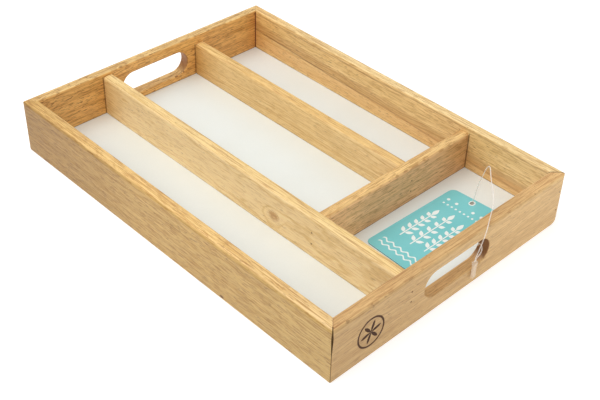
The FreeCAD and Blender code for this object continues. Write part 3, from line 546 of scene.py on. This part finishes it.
def steel(name, tint, shine):
    t = Tree(name)
    x, y, z = t.place()
    cloud = t.noise(t.vector(t.times(x, 1.2), t.times(y, 1.2), t.times(z, 1.2)), detail=3.0)
    colour = t.mix(t.fade(cloud, 0.3, 0.7), srgb(*tint), srgb(*[v * 0.72 for v in tint]))
    t.set(Base_Color=colour, Roughness=t.fade(cloud, 0.3, 0.7, 0.42, 0.6), Normal=t.bump(cloud, 0.00004, 0.6))
    t.shader.inputs["Metallic"].default_value = shine
    return t.material


def nylon(name, tint, cover, painted_glow):
    t = Tree(name)
    x, y, z = t.place()
    cloud = t.noise(t.vector(t.times(x, 0.5), t.times(y, 0.5), t.times(z, 0.5)), detail=2.0)
    colour = t.mix(t.fade(cloud, 0.3, 0.7), srgb(*tint), srgb(*[v - 5 for v in tint]))
    t.set(Base_Color=colour, Roughness=t.fade(cloud, 0.3, 0.7, 0.22, 0.34))
    t.shader.inputs["Alpha"].default_value = cover
    # painted light: a faint glow that lightens the nylon, which is no lamp
    t.shader.inputs["Emission Color"].default_value = (1.0, 0.98, 0.95, 1.0)
    t.shader.inputs["Emission Strength"].default_value = painted_glow
    t.shader.inputs["IOR"].default_value = 1.45
    return t.material


paint(nodes["base_panel"], white_board())
dark_steel = steel("brad_steel", (150, 118, 90), 0.4)
pale_steel = steel("brad_steel_bare", (176, 158, 148), 0.5)
filler = wood("brad_filler", "X", 5.5, (214, 178, 128), (204, 166, 114), (188, 146, 94), pores=0.3)
for node in nodes.values():
    if node.name.startswith("brads_"):
        paint(node, dark_steel)


def filled_hole(name, y, z):
    """Wood filler over a sunk brad head in the right end, flush with its outer face."""
    mesh = bmesh.new()
    bmesh.ops.create_cone(mesh, cap_ends=True, segments=24, radius1=0.84 * MM, radius2=0.84 * MM, depth=0.26 * MM)
    data = bpy.data.meshes.new(name)
    bmesh.ops.transform(mesh, matrix=Matrix.Translation((189.85 * MM, y * MM, z * MM)) @ Matrix.Rotation(math.radians(90), 4, "Y"), verts=mesh.verts)
    mesh.to_mesh(data)
    mesh.free()
    piece = bpy.data.objects.new(name, data)
    scene.collection.objects.link(piece)
    paint(piece, filler)
    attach(piece, "tray")


filled_hole("filler_low", -128.8, 15.4)
filled_hole("filler_high", -128.8, 34.0)
paint(nodes["brads_corner_back_right"], pale_steel)
paint(nodes["brads_corner_front_right"], filler)
paint(tag_strand, nylon("clear_nylon", (247, 240, 232), 0.36, 0.07))
paint(nodes["tag_loop_lock"], nylon("milky_nylon", (240, 222, 198), 0.45, 0.03))


# ------------------------------------------------------------------ the card tag
# The tag lies turned by 2.2 degrees, from its near edge at (132.96, -14.46). u runs across it and
# v along it from the near edge, in millimetres; it is flat to v = 15 and curls up beyond.
TAG_WIDE, TAG_LONG, TAG_THICK, TAG_ROUND = 52.0, 104.0, 0.5, 5.5
TAG_HOLE, TAG_HOLE_V = 2.0, 99.0
TAG_TURN = math.radians(2.2)


def tag_point(u, v, off=0.0):
    """The card's middle surface at (u, v), moved by off along its normal, in metres."""
    def height(a, b):
        far = max(b - 15.0, 0.0)
        lift = 880.0 - math.sqrt(880.0 ** 2 - far ** 2)
        twist = 2.4 * (a / 26.0) * (far / 89.0) ** 2
        near = 0.45 * (max(6.0 - b, 0.0) / 6.0) ** 2
        return 9.92 + lift + twist + near
    slope_u = (height(u + 0.1, v) - height(u - 0.1, v)) / 0.2
    slope_v = (height(u, v + 0.1) - height(u, v - 0.1)) / 0.2
    normal = Vector((-slope_u, -slope_v, 1.0)).normalized()
    at = Vector((u, v, height(u, v))) + normal * off
    cos, sin = math.cos(TAG_TURN), math.sin(TAG_TURN)
    return Vector((132.96 + at.x * cos + at.y * sin, -14.46 - at.x * sin + at.y * cos, at.z)) * MM


def ring(middle, radius, count, stretch=1.0, turn=0.0, start=0.0):
    cos, sin = math.cos(turn), math.sin(turn)
    points = []
    for k in range(count):
        angle = start + 2 * math.pi * k / count
        a, b = radius * math.cos(angle), radius * stretch * math.sin(angle)
        points.append((middle[0] + a * cos - b * sin, middle[1] + a * sin + b * cos))
    return points


def leaf(foot, length, width, turn):
    """A pointed leaf that grows from foot in direction turn."""
    side = []
    for k in range(9):
        s = k / 8
        side.append((length * s, width / 2 * math.sin(math.pi * s ** 0.85)))
    outline = side + [(a, -b) for a, b in reversed(side[1:-1])]
    cos, sin = math.cos(turn), math.sin(turn)
    return [(foot[0] + a * cos - b * sin, foot[1] + a * sin + b * cos) for a, b in outline]


def bar(a, b, width):
    run = Vector((b[0] - a[0], b[1] - a[1]))
    side = Vector((-run.y, run.x)).normalized() * width / 2
    return [(a[0] + side.x, a[1] + side.y), (a[0] - side.x, a[1] - side.y), (b[0] - side.x, b[1] - side.y), (b[0] + side.x, b[1] + side.y)]


def print_shapes():
    """The white print: three leafy sprigs between two borders of dots and waves."""
    shapes = []
    for middle, low, high in ((-13.5, 27.0, 66.0), (0.0, 25.0, 70.0), (13.5, 27.0, 66.0)):
        shapes.append(bar((middle, low), (middle, high), 1.1))
        shapes.append(leaf((middle, high - 1.0), 9.0, 4.2, math.radians(90)))
        steps = 5
        for k in range(steps):
            at = low + 5.0 + (high - low - 9.0) * k / (steps - 1)
            size = 7.2 - 0.45 * k
            shapes.append(leaf((middle + 0.9, at), size, 3.5, math.radians(44)))
            shapes.append(leaf((middle - 0.9, at), size, 3.5, math.radians(136)))
    for row, count, size in ((90.0, 5, 1.5), (84.0, 9, 1.0)):
        for k in range(count):
            u = (k - (count - 1) / 2) * (36.0 / (count - 1))
            if row > 88 and abs(u) < 5:
                continue
            shapes.append(ring((u, row), size, 16))
    for low in (9.0, 14.5):
        wave = [(-20.0 + 40.0 * k / 48, low + 1.3 * math.sin(2 * math.pi * 5 * k / 48)) for k in range(49)]
        shapes.append([(u, v + 0.75) for u, v in wave] + [(u, v - 0.75) for u, v in reversed(wave)])
    return shapes


def inside(point, outline):
    hit = False
    u, v = point
    for (u0, v0), (u1, v1) in zip(outline, outline[1:] + outline[:1]):
        if (v0 > v) != (v1 > v) and u < (u1 - u0) * (v - v0) / (v1 - v0) + u0:
            hit = not hit
    return hit


def card_tag():
    outline = []
    for cu, cv, start in ((20.5, 98.5, 0), (-20.5, 98.5, 90), (-20.5, 5.5, 180), (20.5, 5.5, 270)):
        for k in range(9):
            angle = math.radians(start + 90 * k / 8)
            outline.append((cu + TAG_ROUND * math.cos(angle), cv + TAG_ROUND * math.sin(angle)))
    hole = ring((0.0, TAG_HOLE_V), TAG_HOLE, 28)
    shapes = print_shapes()
    points, edges = [], []
    # the white ring round the hole is a painted highlight, cut like the print
    for loop in [outline, hole, ring((0.0, TAG_HOLE_V), 3.0, 28)] + shapes:
        first = len(points)
        points += [Vector(p) for p in loop]
        edges += [(first + k, first + (k + 1) % len(loop)) for k in range(len(loop))]
    for i in range(-8, 9):
        for j in range(1, 35):
            u, v = i * 3.0 + 0.13 * (j % 2), j * 3.0 + 0.11 * (i % 2)
            if inside((u, v), outline) and math.hypot(u, v - TAG_HOLE_V) > TAG_HOLE + 1.6:
                points.append(Vector((u, v)))
    flat, _, faces, _, _, _ = delaunay_2d_cdt(points, edges, [], 0, 1e-4)
    boxes = [(min(u for u, _ in s), max(u for u, _ in s), min(v for _, v in s), max(v for _, v in s), s) for s in shapes]
    mesh = bmesh.new()
    top = [mesh.verts.new(tag_point(p.x, p.y, TAG_THICK / 2)) for p in flat]
    bottom = [mesh.verts.new(tag_point(p.x, p.y, -TAG_THICK / 2)) for p in flat]
    sides = {}
    for face in faces:
        u = sum(flat[k].x for k in face) / len(face)
        v = sum(flat[k].y for k in face) / len(face)
        if math.hypot(u, v - TAG_HOLE_V) < TAG_HOLE * 0.995 or not inside((u, v), outline):
            continue
        # the print, and the painted highlight ring round the hole
        print_or_highlight = math.hypot(u, v - TAG_HOLE_V) < 2.99 or any(a <= u <= b and c <= v <= d and inside((u, v), s) for a, b, c, d, s in boxes)
        upper = mesh.faces.new([top[k] for k in face])
        upper.material_index = 1 if print_or_highlight else 0
        lower = mesh.faces.new([bottom[k] for k in reversed(face)])
        lower.material_index = 2
        for a, b in zip(face, list(face[1:]) + [face[0]]):
            sides[(a, b)] = sides.get((a, b), 0) + 1
    for a, b in list(sides):
        if (b, a) not in sides:
            rim = mesh.faces.new([top[a], bottom[a], bottom[b], top[b]])
            rim.material_index = 3
    bmesh.ops.delete(mesh, geom=[v for v in mesh.verts if not v.link_faces], context="VERTS")
    bmesh.ops.recalc_face_normals(mesh, faces=mesh.faces)
    data = bpy.data.meshes.new("card_tag")
    mesh.to_mesh(data)
    mesh.free()
    piece = bpy.data.objects.new("card_tag", data)
    scene.collection.objects.link(piece)
    return piece


def card(name, tint, deep, rough):
    t = Tree(name)
    x, y, z = t.place()
    cloud = t.noise(t.vector(t.times(x, 0.04), t.times(y, 0.04), t.times(z, 0.04)), detail=2.0)
    tooth = t.noise(t.vector(t.times(x, 2.2), t.times(y, 2.2), t.times(z, 2.2)), detail=2.0)
    colour = t.mix(t.fade(cloud, 0.3, 0.7), srgb(*tint), srgb(*deep))
    colour = t.shade(colour, t.fade(tooth, 0.3, 0.7, 0.985, 1.015))
    t.set(Base_Color=colour, Roughness=t.fade(tooth, 0.3, 0.7, rough, rough + 0.08), Normal=t.bump(tooth, 0.00001, 0.5))
    return t.material


card_tag_piece = card_tag()
for material in (card("card_turquoise", (126, 205, 208), (118, 199, 202), 0.36),
                 card("card_print", (240, 244, 240), (234, 240, 236), 0.40),
                 card("card_back", (226, 226, 220), (220, 220, 212), 0.62),
                 # the dark card edge is painted shade: the card's rim in its own shadow
                 card("card_edge_shade", (86, 128, 136), (72, 112, 122), 0.7)):
    card_tag_piece.data.materials.append(material)
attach(card_tag_piece, "tag")
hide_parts("hang_tag")


# ------------------------------------------------------------------ floor and light
def floor():
    data = bpy.data.meshes.new("floor")
    mesh = bmesh.new()
    bmesh.ops.create_grid(mesh, x_segments=8, y_segments=8, size=4.0)
    mesh.to_mesh(data)
    mesh.free()
    piece = bpy.data.objects.new("floor", data)
    piece.location.z = -0.0001
    scene.collection.objects.link(piece)
    material = bpy.data.materials.new("floor_white")
    material.use_nodes = True
    shader = material.node_tree.nodes["Principled BSDF"]
    shader.inputs["Base Color"].default_value = (0.62, 0.62, 0.62, 1.0)
    shader.inputs["Roughness"].default_value = 0.9
    shader.inputs["Specular IOR Level"].default_value = 0.0
    shader.inputs["Emission Color"].default_value = (1.0, 1.0, 1.0, 1.0)
    shader.inputs["Emission Strength"].default_value = 0.60
    data.materials.append(material)


def area(name, at, to, size, power, tint=(1.0, 1.0, 1.0)):
    data = bpy.data.lights.new(name, "AREA")
    data.shape = "RECTANGLE"
    data.size, data.size_y = size
    data.energy = power
    data.color = tint
    lamp = bpy.data.objects.new(name, data)
    lamp.location = at
    lamp.rotation_euler = (Vector(to) - Vector(at)).to_track_quat("-Z", "Y").to_euler()
    scene.collection.objects.link(lamp)


floor()
area("key", (-0.25, -0.70, 1.55), (0.0, 0.0, 0.0), (1.6, 1.6), 19.0)
area("side", (0.95, 0.55, 0.16), (0.19, 0.08, 0.03), (0.5, 0.25), 0.9)

world = bpy.data.worlds.new("studio")
scene.world = world
world.use_nodes = True
world.node_tree.nodes["Background"].inputs["Color"].default_value = (0.98, 0.99, 1.0, 1.0)
world.node_tree.nodes["Background"].inputs["Strength"].default_value = 0.62

scene.view_settings.view_transform = "Standard"
scene.view_settings.look = "None"
scene.view_settings.exposure = 0.0
scene.view_settings.gamma = 1.0

print("strand length %.4f m" % strand_length)
